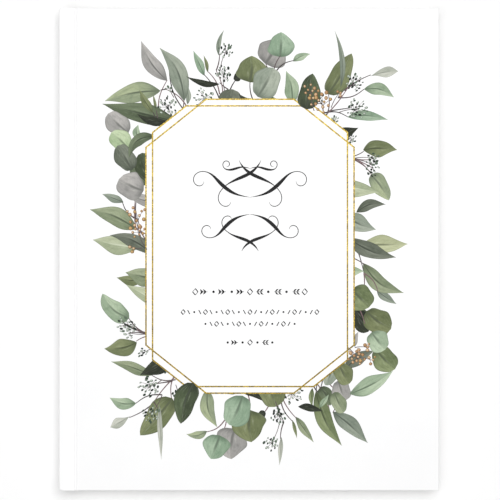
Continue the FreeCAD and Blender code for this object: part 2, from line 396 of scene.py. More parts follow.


# foil colours from dark to bright, how much each pattern moves between them, and how strong the painted shade
# towards the foot of the cover is and how far up it reaches
goldShape = {"grains": 1900.0, "patches": 140.0, "grain": 0.6, "patch": 0.5, "footShade": 0.2, "footShadeFrom": 90 * mm,
             "stops": ((0.15, (92, 76, 20)), (0.4, (136, 113, 30)), (0.65, (180, 152, 50)),
                       (0.9, (228, 206, 104)))}


def goldMaterial():
    # glittering foil: grains from pale yellow to brown gold, with painted shade making it darker towards the
    # foot of the cover
    material, tree, shader, place = startMaterial("goldFoil", 0.42, 0.3, Specular_IOR_Level=0.3)
    grain = addNode(tree, "ShaderNodeTexVoronoi", {"feature": "F1"}, Scale=goldShape["grains"])
    tree.links.new(place, grain.inputs["Vector"])
    cell = axesOf(tree, grain.outputs["Color"])
    drift = noiseNode(tree, place, goldShape["patches"], 3.0, 0.6)
    # painted shade: the foil's colour runs darker from the head down to the foot of the cover
    footShade = rampNode(tree, axesOf(tree, place)["Y"], goldShape["footShadeFrom"], -goldShape["footShadeFrom"])
    drift = times(tree, drift, goldShape["patch"])
    level = mathNode(tree, "ADD", times(tree, cell["X"], goldShape["grain"]), drift)
    level = mathNode(tree, "SUBTRACT", level, times(tree, footShade, goldShape["footShade"]))
    ramp = tree.nodes.new("ShaderNodeValToRGB")
    stops = goldShape["stops"]
    while len(ramp.color_ramp.elements) < len(stops):
        ramp.color_ramp.elements.new(0.5)
    for element, (position, colour) in zip(ramp.color_ramp.elements, stops):
        element.position = position
        element.color = rgb(*colour)
    tree.links.new(level, ramp.inputs["Fac"])
    tree.links.new(ramp.outputs["Color"], shader.inputs["Base Color"])
    addBump(tree, shader, cell["Y"], 0.4, 0.05 * mm)
    return material


leafInk = leafMaterial()
plainInk = tintMaterial("plantInk", shine=inkShine)
bandThread = tintMaterial("bandThread", 0.7, spread=0.2)
bandTints = (rgb(238, 236, 230), rgb(176, 186, 168))
goldFoil = goldMaterial()
blackInk = paperMaterial("blackInk", (0.012, 0.012, 0.013, 1), (0.003, 0.003, 0.0035, 1), 0.4,
                         clouds=300.0, bump=0.1, shine=inkShine)
print("materials made")


# cover boards and spine in their white sheet
coverShape = {"edgeRound": 0.55 * mm, "edgeSteps": 4, "sheet": 0.2 * mm, "turnIn": 16 * mm,
              "spineCorner": 1.7 * mm, "spineEdge": 0.6 * mm}


def selectWhere(obj, kind, test):
    # kind is FACE or EDGE; edit mode is left on, with only the parts that pass the test selected
    pick(obj)
    bpy.ops.object.mode_set(mode="EDIT")
    bpy.ops.mesh.select_mode(type=kind)
    bpy.ops.mesh.select_all(action="DESELECT")
    bpy.ops.object.mode_set(mode="OBJECT")
    spots = [vertex.co for vertex in obj.data.vertices]
    for part in (obj.data.polygons if kind == "FACE" else obj.data.edges):
        part.select = test(part) if kind == "FACE" else test(*(spots[i] for i in part.vertices))
    bpy.ops.object.mode_set(mode="EDIT")


def bevelWhere(obj, width, steps, test=lambda first, second: True):
    selectWhere(obj, "EDGE", test)
    bpy.ops.mesh.bevel(offset=width, segments=steps, profile=0.5, affect="EDGES")
    bpy.ops.object.mode_set(mode="OBJECT")


def smooth(obj, degrees=40):
    pick(obj)
    bpy.ops.object.shade_smooth_by_angle(angle=math.radians(degrees))
    return obj


def boxPiece(name, node):
    deselectAll()
    lowest, highest = low(node), high(node)
    bpy.ops.mesh.primitive_cube_add(size=1, location=(lowest + highest) / 2)
    obj = bpy.context.object
    obj.scale = highest - lowest
    obj.name = name
    return bakePlace(obj)


def finishSkin(skin, body, node):
    # the open box becomes a closed sheet of the cover's thickness
    bpy.ops.mesh.delete(type="FACE")
    bpy.ops.object.mode_set(mode="OBJECT")
    applyModifier(skin, "SOLIDIFY", thickness=coverShape["sheet"], offset=-1, use_even_offset=True)
    smooth(skin)
    return finishPiece(skin, body, "cover_wrap", coverSheet, (node,))


def wrappedCover(side, inward):
    # inward is the sign of Z that points to the pages
    node = f"{side}_cover_wrap"
    skin = boxPiece(f"{side}_cover_sheet", node)
    bevelWhere(skin, coverShape["edgeRound"], coverShape["edgeSteps"])
    selectWhere(skin, "FACE", lambda face: face.normal.z * inward > 0.99)
    bpy.ops.mesh.inset(thickness=coverShape["turnIn"] - coverShape["edgeRound"])
    return finishSkin(skin, f"{side}_cover", node)


def wrappedSpine():
    node = "spine_wrap"
    skin = boxPiece("spine_sheet", node)
    left, right = low(node).x, high(node).x
    bevelWhere(skin, coverShape["spineCorner"], 5,
               lambda a, b: abs(a.z - b.z) > mm and a.x < left + 0.1 * mm)
    bevelWhere(skin, coverShape["spineEdge"], 4,
               lambda a, b: abs(a.z - b.z) < 0.01 * mm and min(a.x, b.x) < right - 0.1 * mm)
    selectWhere(skin, "FACE", lambda face: face.normal.x > 0.99)
    return finishSkin(skin, "spine", node)


wrappedCover("front", -1)
wrappedCover("rear", 1)
wrappedSpine()
print("covers and spine made")

jointShape = {"grooveDeep": 0.75 * mm, "grooveCentre": 1.35 * mm, "grooveWide": 1.3 * mm, "steps": 44,
              "sheet": 0.2 * mm, "lapOnSpine": 0.5 * mm, "lapOnBoard": 0.4 * mm, "edgeSteps": 24,
              "sink": 0.02 * mm, "frontBend": 3 * mm, "rearBend": 6 * mm}


def jointStrip(side, outward):
    # a strip of the cover sheet from the spine to the board, with the pressed groove beside the board
    node = f"{side}_joint_cloth"
    lowest, highest = low(node), high(node)
    near, far = lowest.x - jointShape["lapOnSpine"], highest.x + jointShape["lapOnBoard"]
    face = highest.z if outward > 0 else lowest.z
    groove = highest.x - jointShape["grooveCentre"]
    deselectAll()
    bpy.ops.mesh.primitive_grid_add(x_subdivisions=jointShape["steps"],
                                    y_subdivisions=jointShape["edgeSteps"], size=1)
    sheet = bpy.context.object
    sheet.name = f"{side}_joint_sheet"
    for vertex in sheet.data.vertices:
        x = near + (vertex.co.x + 0.5) * (far - near)
        dip = jointShape["grooveDeep"] * math.exp(-(((x - groove) / (0.5 * jointShape["grooveWide"])) ** 2))
        vertex.co = (x, vertex.co.y * 2 * highest.y, face - outward * (dip + jointShape["sink"]))
    if outward < 0:
        pick(sheet)
        bpy.ops.object.mode_set(mode="EDIT")
        bpy.ops.mesh.select_all(action="SELECT")
        bpy.ops.mesh.flip_normals()
        bpy.ops.object.mode_set(mode="OBJECT")
    applyModifier(sheet, "SOLIDIFY", thickness=jointShape["sheet"], offset=-1)
    smooth(sheet, 60)
    return finishPiece(sheet, None, "cover_wrap", coverSheet, (node,))


frontJoint = jointStrip("front", 1)
rearJoint = jointStrip("rear", -1)
hingeAt = Vector((low("front_cover_wrap").x, 0, high("front_cover_wrap").z))
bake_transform(frontJoint)
spineEdge = Vector((high("spine_wrap").x, 0, 0))
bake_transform(rearJoint)
print("joint strips made")

coats = {
    "front_board": greyboard, "rear_board": greyboard, "spine_board": greyboard,
    "front_pastedown": endpaper, "rear_pastedown": endpaper,
    "front_spine_gauze": gauzeCloth, "rear_spine_gauze": gauzeCloth,
    "front_spine_lining": kraftLining, "rear_spine_lining": kraftLining, "sewing_thread": linenThread,
}
for node, material in coats.items():
    part = bpy.data.objects[node]
    if not part.data.materials:
        part.data.materials.append(material)
    for slot in part.material_slots:
        slot.material = material
print("inner parts coated")

# the book block: each section is a few sheets folded together at the spine, and the middle one lies open
leafShape = {"pitch": 0.1 * mm, "thick": 0.085 * mm, "foldSteps": 8, "trimSlip": 0.12 * mm, "across": 6,
             "tones": (0.8, 1.0), "singleTone": 0.95, "singleThick": 0.9}
# first and last angle of the fold in degrees, and the height of its centre as a share of the section's
foldKinds = {"whole": (90, 270, 0.5), "front": (90, 180, 0.0), "rear": (270, 180, 1.0)}
sections = [("section_1", "front_pages", "whole"), ("section_2", "front_pages", "whole"),
            ("section_3", "front_pages", "whole"), ("section_4_front_half", "front_pages", "front"),
            ("section_4_rear_half", "rear_cover", "rear"), ("section_5", "rear_cover", "whole"),
            ("section_6", "rear_cover", "whole"), ("section_7", "rear_cover", "whole")]
singleLeaves = [("front_centre_leaf", pagePaper, "page_paper"), ("rear_centre_leaf", pagePaper, "page_paper"),
                ("front_flyleaf", endLeaf, "endpaper"), ("rear_flyleaf", endLeaf, "endpaper")]


def sheetAlong(line, halfHigh, thick, tone):
    # one sheet of paper whose cross section follows the line of (x, z) points
    deselectAll()
    count = len(line) - 1
    bpy.ops.mesh.primitive_grid_add(x_subdivisions=count, y_subdivisions=leafShape["across"], size=1)
    leaf = bpy.context.object
    for vertex in leaf.data.vertices:
        point = line[round((vertex.co.x + 0.5) * count)]
        vertex.co = (point.x, vertex.co.y * 2 * halfHigh, point.y)
    applyModifier(leaf, "SOLIDIFY", thickness=thick, offset=0)
    layer = leaf.data.color_attributes.new("sheetTone", "FLOAT_COLOR", "POINT")
    layer.data.foreach_set("color", [tone, tone, tone, 1] * len(leaf.data.vertices))
    return leaf


def foldLine(node, kind, index, slip):
    first, last, share = foldKinds[kind]
    lowest, highest = low(node), high(node)
    height = highest.z - lowest.z
    reach = height * max(share, 1 - share)
    radius = reach - leafShape["pitch"] * (index + 0.5)
    middle = Vector((lowest.x + reach, lowest.z + share * height))
    steps = leafShape["foldSteps"]
    turns = [math.radians(first + (last - first) * step / steps) for step in range(steps + 1)]
    line = [middle + Vector((math.cos(turn), math.sin(turn))) * radius for turn in turns]
    line.insert(0, Vector((highest.x - slip, line[0].y)))
    if kind == "whole":
        line.append(Vector((highest.x - slip, line[-1].y)))
    return line, round(reach / leafShape["pitch"])


def foldedSection(node, kind, draw):
    count = foldLine(node, kind, 0, 0)[1]
    leaves = []
    for index in range(count):
        slip = draw.uniform(0, leafShape["trimSlip"])
        line = foldLine(node, kind, index, slip)[0]
        halfHigh = high(node).y - draw.uniform(0, leafShape["trimSlip"])
        leaves.append(sheetAlong(line, halfHigh, leafShape["thick"], draw.uniform(*leafShape["tones"])))
    return joinAll(leaves, f"{node}_sheets")


def makeBookBlock(seed=5):
    draw = random.Random(seed)
    for node, body, kind in sections:
        finishPiece(foldedSection(node, kind, draw), body, "page_paper", pagePaper, (node,))
    for node, material, slot in singleLeaves:
        body = "rear_cover" if node == "rear_flyleaf" else node
        lowest, highest = low(node), high(node)
        level = (lowest.z + highest.z) / 2
        line = [Vector((highest.x, level)), Vector((lowest.x, level))]
        thick = leafShape["singleThick"] * (highest.z - lowest.z)
        leaf = sheetAlong(line, highest.y, thick, leafShape["singleTone"])
        leaf.name = f"{node}_sheet"
        finishPiece(leaf, body, slot, material, (node,))


makeBookBlock()
print("book block made")

bandShape = {"thread": 0.1 * mm, "pitch": 0.21 * mm, "around": 14, "threadSides": 6, "coreRound": 0.15 * mm}


def stitchedBand(node, body):
    # a cord wound closely with thread of two colours
    lowest, highest = low(node), high(node)
    middle = (lowest + highest) / 2
    radius = (highest.x - lowest.x) / 2
    thread, around = bandShape["thread"], bandShape["around"]
    count = int((highest.z - lowest.z) / bandShape["pitch"])
    deselectAll()
    bpy.ops.mesh.primitive_cylinder_add(vertices=around, radius=radius - 1.5 * thread,
                                        depth=highest.z - lowest.z, location=middle)
    core = bpy.context.object
    bevelWhere(core, bandShape["coreRound"], 2)
    setTint(core, bandTints[0], bandTints[0])
    made = [core]
    for index in range(count):
        deselectAll()
        level = middle.z + (index - (count - 1) / 2) * bandShape["pitch"]
        bpy.ops.mesh.primitive_torus_add(major_radius=radius - thread, minor_radius=thread,
                                         major_segments=around, minor_segments=bandShape["threadSides"],
                                         location=(middle.x, middle.y, level))
        tint = bandTints[index // 2 % 2]
        setTint(bpy.context.object, tint, tint)
        made.append(bpy.context.object)
    band = smooth(joinAll(made, f"{node}_thread"), 60)
    finishPiece(band, body, "headband", bandThread, (node,))


for side, body in (("front", "front_pages"), ("rear", "rear_cover")):
    stitchedBand(f"{side}_headband", body)
    stitchedBand(f"{side}_tailband", body)
print("headbands made")


# printed design on the front cover
faceHeight = high("front_cover_wrap").z
inkStep = 0.006 * mm
designCentre = Vector((0.6 * mm, 1.8 * mm))


def strip(path, halfWidth, along, across, level, tint, tone, uneven=0.0):
    # a flat painted stroke: path(s) is its middle line and halfWidth(s) its half width, for s from 0 to 1;
    # uneven is how far its two edges wander apart, as a share of the width
    deselectAll()
    bpy.ops.mesh.primitive_grid_add(x_subdivisions=along, y_subdivisions=across, size=1)
    obj = bpy.context.object
    step = 0.5 / along
    stations = {}
    for vertex in obj.data.vertices:
        s = round(min(1.0, max(0.0, vertex.co.x + 0.5)), 6)
        if s not in stations:
            ahead, behind = path(min(1.0, s + step)), path(max(0.0, s - step))
            heading = (ahead - behind).normalized()
            stations[s] = (path(s), Vector((-heading.y, heading.x)), halfWidth(s))
        middle, sideways, half = stations[s]
        wander = uneven * math.sin(8.0 * s + 3.0 * level) * math.copysign(1.0, vertex.co.y)
        place = middle + sideways * (half * (1 + wander) * 2 * vertex.co.y)
        vertex.co = (place.x, place.y, faceHeight + level * inkStep)
    setTint(obj, tint, tone)
    return obj


# steps along and across each kind of stroke, and the thickness of each kind of print in ink layers
strokeSteps = {"leaf": (20, 10), "stalk": (14, 2), "root": (8, 1), "twig": (4, 1), "pen": (110, 2),
               "mark": (2, 1), "blade": (8, 2)}
printThick = {"leaf": 0.6, "seed": 0.4, "panel": 0.8, "gold": 1.0, "pen": 0.5}
leafUneven = 0.09


def printPiece(strokes, name, kind, material):
    # what was painted becomes one thin printed piece of the front cover
    piece = joinAll(strokes, name)
    applyModifier(piece, "SOLIDIFY", thickness=printThick[kind] * inkStep, offset=-1)
    return finishPiece(piece, "front_cover", "cover_wrap", material)


def arcPath(start, end, bow):
    # start and end in design millimetres, bowed sideways by a share of the length
    first, last = Vector(start), Vector(end)
    sideways = Vector((-(last - first).y, (last - first).x)) * bow

    def path(s):
        place = first.lerp(last, s) + sideways * math.sin(math.pi * s)
        return designCentre + place * mm
    return path


# where each outline is widest, from 0 at the base to 1 at the tip, how full it is, and its least half width
outline = {"lancePeak": 0.42, "lanceFull": 1.12, "spoonPeak": 0.62, "roundFull": 0.92, "coinPeak": 0.34,
           "coinPoint": 2.1, "coinFull": 0.8, "tip": 0.05, "coinTip": 0.06, "stemTaper": 0.45}


def lanceShape(width, peak=outline["lancePeak"]):
    # pointed at both ends
    power = math.log(0.5) / math.log(peak)

    def half(s):
        full = max(0.0, math.sin(math.pi * s ** power)) ** outline["lanceFull"]
        return max(outline["tip"], 0.5 * width * full) * mm
    return half


def spoonShape(width):
    return lanceShape(width, outline["spoonPeak"])


def roundShape(width):
    def half(s):
        full = math.sqrt(max(0.0, 1 - (2 * s - 1) ** 2)) ** outline["roundFull"]
        return max(outline["tip"], 0.5 * width * full) * mm
    return half


def coinShape(width):
    # a broad leaf, fullest below the middle, with a short blunt point
    peak = outline["coinPeak"]

    def half(s):
        if s < peak:
            full = math.sqrt(1 - (1 - s / peak) ** 2)
        else:
            full = (1 - ((s - peak) / (1 - peak)) ** outline["coinPoint"]) ** outline["coinFull"]
        return max(outline["coinTip"], 0.5 * width * full) * mm
    return half


def stemShape(width):
    def half(s):
        return 0.5 * width * (1 - outline["stemTaper"] * s) * mm
    return half


leafShapes = {"lance": lanceShape, "spoon": spoonShape, "round": roundShape, "coin": coinShape}
leafWarmth = 4         # a little more red in every leaf than its colour below says, out of 255
roundRib = 0.9         # how dark the midrib of the broad leaves is, from 0 to 1

# leaf colours: lit half, then shaded half
leafTones = {
    "sage": ((160, 174, 142), (112, 130, 100)),
    "mint": ((182, 203, 174), (132, 158, 130)),
    "pale": ((202, 222, 184), (158, 184, 142)),
    "mist": ((206, 212, 200), (162, 172, 158)),
    "grey": ((152, 166, 150), (112, 128, 114)),
    "haze": ((168, 180, 164), (126, 142, 126)),
    "smoke": ((180, 181, 177), (144, 147, 144)),
    "olive": ((132, 144, 104), (98, 112, 76)),
    "green": ((142, 158, 116), (88, 106, 70)),
    "teal": ((160, 186, 160), (120, 150, 124)),
    "slate": ((122, 132, 118), (84, 96, 82)),
    "dark": ((115, 132, 104), (75, 91, 68)),
    "deep": ((83, 101, 72), (49, 62, 44)),
    "night": ((52, 62, 48), (32, 40, 32)),
    "fresh": ((173, 188, 150), (129, 146, 121)),
    "straw": ((188, 197, 158), (162, 172, 134)),
    "dew": ((188, 200, 168), (148, 164, 132)),     # the only one with a pale midrib
}

# the half of the wreath above and to the right of the frame, which is also turned half round;
# each leaf: kind, base and tip in millimetres from the frame's centre, width, colour, bow, ink layer
halfWreath = [
    ("lance", (-49, 98), (-65, 121), 8.4, "grey", 0.08, 3),
    ("lance", (-39, 86), (-48.5, 120), 10.4, "sage", -0.07, 6),
    ("lance", (-37, 84), (-35, 94), 3.2, "sage", -0.1, 4),
    ("lance", (-27, 101), (-37.5, 116.5), 4.6, "green", 0.05, 2),
    ("lance", (-25, 103), (-26, 114), 2.0, "slate", 0.0, 2),
    ("lance", (-18.5, 113), (-14, 128), 2.8, "grey", 0.04, 2),
    ("round", (-12, 79), (-12, 94), 15.0, "olive", 0.0, 9),
    ("coin", (0, 97), (-3, 115), 17.4, "olive", 0.0, 8),
    ("round", (-9, 98), (-5, 103), 4.4, "night", 0.0, 7),
    ("coin", (9, 108), (13, 125), 16.4, "smoke", 0.0, 5),
    ("coin", (18, 112), (21, 128), 15.0, "sage", 0.0, 6),
    ("round", (12.5, 75), (12.5, 89.2), 13.4, "deep", 0.0, 3),
    ("round", (4.5, 88.5), (17, 105), 14.4, "teal", 0.0, 9),
    ("lance", (25.5, 109.5), (37.5, 114), 4.8, "mint", 0.08, 4),
    ("lance", (25, 84), (18.5, 106), 9.4, "mint", -0.08, 8),
    ("coin", (33.5, 81), (39, 104.5), 12.4, "deep", -0.04, 19),
    ("lance", (53.7, 94), (45.1, 123.4), 3.0, "grey", -0.05, 9),
    ("coin", (46.1, 90), (60.3, 112.8), 12.8, "dark", -0.03, 7),
    ("spoon", (71, 100.6), (85, 106.8), 6.6, "mist", 0.03, 4),
    ("lance", (67.5, 93), (85.4, 88.2), 6.6, "mint", 0.07, 5),
    ("lance", (57.8, 76.5), (80.5, 70.6), 6.4, "teal", 0.02, 6),
    ("lance", (45, 63), (65.4, 71.7), 9.2, "night", 0.0, 9),
    ("lance", (67, 57), (88.2, 57.6), 9.6, "dark", 0.05, 6),
    ("coin", (71.5, 42.4), (83, 26.6), 10.4, "mint", 0.1, 4),
    ("lance", (49, 36.5), (77.2, 28.2), 8.8, "straw", 0.05, 6),
    ("lance", (63, 20), (80, 22.5), 5.8, "dark", 0.08, 3),
    ("lance", (54, 19.5), (74.5, 15), 9.8, "teal", 0.0, 7),
    ("lance", (66, 1), (93, 3), 10.6, "dew", 0.04, 5),
    ("lance", (58, 5), (86, -10.5), 8.8, "dark", -0.08, 7),
    ("lance", (67, -10), (91, -28), 9.8, "sage", -0.08, 4),
    ("lance", (75, -26), (86.5, -34), 4.4, "mist", 0.0, 3),
    ("lance", (59, -36), (72, -51), 9.0, "deep", 0.05, 3),
    ("lance", (6, 85), (-8, 90), 4.4, "night", 0.12, 9),
]
# what differs between the left and the right of the design
leftLeaves = [
    ("lance", (-55.5, 80), (-57, 91), 1.8, "dark", 0.0, 4),
    ("lance", (-57.5, 79), (-68, 93), 4.6, "dark", 0.06, 7),
    ("lance", (-53, 92), (-85, 86.5), 11.0, "fresh", -0.09, 5),
    ("lance", (-42, 73.5), (-85, 73), 13.2, "slate", -0.02, 4.2),
    ("lance", (-18, 96), (-37, 101), 3.8, "night", 0.12, 8),
    ("lance", (-52, 25.4), (-74.6, 25.9), 6.8, "grey", 0.03, 8),
    ("lance", (-63.4, 35), (-68.8, 27.6), 4.6, "mist", 0.0, 7),
    ("lance", (-49, 74), (-68, 81), 5.4, "night", 0.14, 8),
    ("lance", (-66, 63), (-64, 73), 4.2, "pale", 0.1, 3),
    ("lance", (-56, 65), (-77, 54), 6.6, "olive", -0.26, 9),
    ("round", (-72, 67), (-84, 78), 13.2, "grey", 0.0, 5),
    ("round", (-71, 57), (-84, 66), 13.0, "pale", 0.0, 6),
    ("round", (-70, 45), (-82, 57), 13.0, "dark", 0.0, 7),
    ("round", (-60, 40), (-67, 53), 12.0, "deep", 0.0, 5),
    ("round", (-63, 33), (-76, 43), 14.0, "grey", 0.0, 8),
]
rightLeaves = [
    ("lance", (59, -87.5), (84.5, -75.5), 10.0, "fresh", -0.06, 7),
    ("lance", (28.5, -95), (41.8, -94.4), 4.0, "night", 0.1, 8),
    ("coin", (41.5, -83.5), (45, -96.5), 7.8, "deep", 0.0, 5),
    ("lance", (41, -95.6), (45.4, -87.4), 3.4, "mint", 0.0, 10),
    ("lance", (56, -73), (76, -61), 7.6, "slate", 0.05, 4),
    ("lance", (50, -16), (68.4, -16.6), 7.0, "mint", 0.0, 8),
    ("round", (60, -26), (73, -36), 14.2, "haze", 0.0, 8),
    ("round", (61, -36), (68, -51), 11.0, "night", 0.0, 5.5),
    ("round", (69, -38.4), (79.4, -51), 13.2, "dark", 0.0, 7),
    ("round", (72, -51), (84, -60), 13.6, "pale", 0.0, 7.8),
    ("round", (74, -61), (86, -70), 13.6, "haze", 0.0, 6),
    ("lance", (62, -59.5), (66.2, -50), 3.8, "grey", 0.05, 5),
    ("round", (52.5, -69), (59, -80.5), 11.2, "olive", 0.0, 9),
    ("coin", (48.6, -72), (45.4, -82.6), 8.6, "teal", 0.0, 8),
    ("round", (52, -79.6), (57, -92), 10.8, "smoke", 0.0, 6),
    ("round", (50, -86.4), (56.4, -97.2), 9.6, "sage", 0.0, 7),
]
# stalks of the half wreath: foot, end, bow
stalks = [
    ((-53, 74), (-49, 98.5), 0.12), ((-37, 78), (-48, 106), 0.1), ((-40, 78), (-39, 87), 0.0),
    ((-37, 82), (-50, 93), -0.1), ((-50, 93), (-53, 92.5), 0.0), ((-54, 72), (-57.5, 79.5), 0.0),
    ((-54, 72), (-55.5, 80.5), 0.0), ((-18, 87), (-27.5, 102), -0.06), ((-18, 90), (-25, 103.5), -0.1),
    ((-17, 83), (-20, 104), -0.1), ((-20, 104), (-18, 114), -0.05), ((-13, 93), (-18, 97), 0.05),
    ((3, 84), (0, 98), 0.08), ((-12, 92), (-7, 100), 0.06), ((14, 100), (9, 109), 0.05),
    ((14, 98), (18, 113), 0.1), ((15, 103), (26, 110), 0.12), ((44, 75), (46.5, 90), -0.1),
    ((43, 76), (58, 94), -0.04), ((56, 92), (71.5, 101.5), 0.05), ((52, 88), (67.5, 93), -0.12),
    ((44, 79), (58, 76.5), 0.12), ((46, 80), (60, 82), 0.0), ((57, 92), (54.5, 96), 0.0),
    ((58, 53), (67.5, 56.3), -0.08), ((61, 52), (71.8, 42.6), 0.08), ((61, 52), (72, 51.4), -0.05),
    ((61, 51.8), (73, 46), 0.03), ((58, 0), (68, 1.2), 0.06), ((58, -6), (68, -11), 0.05),
    ((61, 4), (67.5, -16), 0.03), ((67.5, -16), (75.8, -27), 0.12), ((67.5, -16), (67.5, -26), 0.03),
]
leftStalks = [((-62, 4), (-68.5, 12), -0.05), ((-67.6, 11), (-68, 27), 0.04)]
rightStalks = [
    ((61, -31), (68, -46), 0.05), ((64, -38), (73, -53), 0.08), ((43, -77), (41.6, -84.5), 0.05),
    ((43.5, -77), (54, -88), -0.04), ((51.5, -78), (53.5, -81.5), 0.0),
]
stalkInks = ((104, 91, 92), (136, 112, 114), (82, 74, 74))
stemWidths = {"stalk": 0.82, "root": 0.5, "twig": 0.28}

# seed heads of the half wreath, then of its left end only: centre, radius, number of seeds, stalk foot
seedHeads = [
    ((-13, 115), 4.4, 18, (-18, 102)), ((-16, 103), 4.8, 20, (-15, 92)), ((-27, 90), 6.0, 22, (-20, 84)),
    ((60.4, 97), 5.2, 24, (52, 88)), ((61.5, 83.3), 6.2, 28, (52, 79)), ((42.2, 89.8), 3.6, 11, (44, 82)),
    ((49.7, 75), 2.4, 9, (46, 70)), ((61.4, 62.4), 2.9, 9, (58, 60)), ((71.6, 52.2), 3.6, 11, (61, 52)),
    ((74.4, 47.6), 4.6, 16, (62, 51.5)), ((70.2, 45.4), 2.6, 7, (62, 51)),
]
leftSeedHeads = [
    ((-48, 85), 5.6, 22, (-44, 74)), ((-42, 78), 4.0, 10, (-40, 70)), ((-45.4, 93.4), 2.6, 6, (-45, 88)),
]
seedInks = ((56, 70, 57), (43, 53, 46), (72, 90, 75), (102, 120, 102))
# gold berries, on one side each
berryHeads = [
    ((44.5, 84.4), 6.6, 13, (44, 78)), ((34, 90.6), 5.0, 11, (38, 80)), ((52.2, 88.4), 1.8, 3, (48, 82)),
    ((63.4, -64.4), 5.2, 15, (58, -60)), ((67.4, -58.4), 2.4, 4, (62, -60)),
    ((69.6, -69.4), 3.0, 4, (63, -66)),
    ((-68.4, 16.4), 6.6, 11, (-62, 4)), ((-65.8, 6.8), 4.6, 10, (-61, -2)), ((-71.4, 0.6), 2.2, 3, (-64, -1)),
]
berryInks = ((222, 184, 142), (206, 164, 118), (234, 206, 168), (214, 180, 122))
# length in millimetres, least and greatest width as shares of it, the share that has a rim, then colours
seedShape = {"size": 1.7, "squash": (0.5, 0.75), "rimmed": 0.38, "rim": (114, 128, 114),
             "pale": (206, 216, 202), "inks": seedInks, "level": 11, "seed": 13}
berryShape = {"size": 2.0, "squash": (0.85, 1.0), "rimmed": 1.0, "rim": (150, 108, 68), "pale": None,
              "inks": berryInks, "level": 20, "seed": 14}
halfTurns = (1, -1)    # as laid out, then turned half round


def turned(places, turn):
    return [Vector(place) * turn for place in places]


# how far a leaf may stray from the layout above: degrees, shares of its size, bow and brightness out of 255;
# and how far the middle of a seed or berry head may, in millimetres
wreathChange = {"turn": 15, "length": (0.86, 1.12), "width": (0.9, 1.14), "bow": 0.06, "shade": 7,
                "head": 2.4}
# colours that may stand in for each other
toneFamilies = (("mint", "pale", "fresh"), ("sage", "teal", "green", "haze"), ("grey", "mist", "smoke"),
                ("olive", "slate", "dark"), ("deep", "dark"), ("straw", "dew"))


def otherTone(colour, draw):
    family = next((names for names in toneFamilies if colour in names), (colour,))
    return draw.choice(family)


def warmed(colour, change):
    red, green, blue = (value + change for value in colour)
    return inkTone(red + leafWarmth, green, blue)


def leafStrip(entry, turn, draw):
    kind, base, tip, width, colour, bow, layer = entry
    start, end = turned((base, tip), turn)
    lean = Matrix.Rotation(math.radians(draw.uniform(-wreathChange["turn"], wreathChange["turn"])), 2)
    end = start + lean @ (end - start) * draw.uniform(*wreathChange["length"])
    width *= draw.uniform(*wreathChange["width"])
    bow += draw.uniform(-wreathChange["bow"], wreathChange["bow"])
    colour = otherTone(colour, draw)
    lit, shaded = leafTones[colour]
    change = draw.uniform(-wreathChange["shade"], wreathChange["shade"])
    tint, tone = warmed(lit, change), warmed(shaded, 0.6 * change)
    # the last value of the tint says how dark the midrib is
    if colour == "dew":
        tint = tint[:3] + (0,)
    elif kind != "lance":
        tint = tint[:3] + (roundRib,)
    level = layer + draw.random() * 0.6
    line, half = arcPath(start, end, bow), leafShapes[kind](width)
    return strip(line, half, *strokeSteps["leaf"], level, tint, tone, uneven=leafUneven)


def makeWreath(seed=11):
    draw = random.Random(seed)
    for turn, name in zip(halfTurns, ("upper_leaf_wreath", "lower_leaf_wreath")):
        leaves = [leafStrip(entry, turn, draw) for entry in halfWreath]
        leaves += [leafStrip(entry, 1, draw) for entry in (leftLeaves if turn == 1 else rightLeaves)]
        printPiece(leaves, name, "leaf", leafInk)
    print("leaves made")


def makeStalks(seed=12):
    draw = random.Random(seed)
    made = []
    placed = [turned((foot, end), turn) + [bow] for turn in halfTurns for foot, end, bow in stalks]
    placed += [[Vector(foot), Vector(end), bow] for foot, end, bow in leftStalks + rightStalks]
    for place in placed:
        ink = inkTone(*draw.choice(stalkInks))
        level = 2 + 6 * draw.random()
        half = stemShape(stemWidths["stalk"])
        made.append(strip(arcPath(*place), half, *strokeSteps["stalk"], level, ink, ink))
    printPiece(made, "leaf_stalks", "leaf", plainInk)


def dot(place, length, width, angle, level, colour, corners=10):
    deselectAll()
    bpy.ops.mesh.primitive_circle_add(vertices=corners, radius=0.5, fill_type="NGON")
    obj = bpy.context.object
    cosine, sine = math.cos(angle), math.sin(angle)
    for vertex in obj.data.vertices:
        x, y = vertex.co.x * length, vertex.co.y * width
        across, up = place[0] + x * cosine - y * sine, place[1] + x * sine + y * cosine
        spot = designCentre + Vector((across, up)) * mm
        vertex.co = (spot.x, spot.y, faceHeight + level * inkStep)
    setTint(obj, colour, colour)
    return obj


goldenAngle = math.pi * (3 - math.sqrt(5))


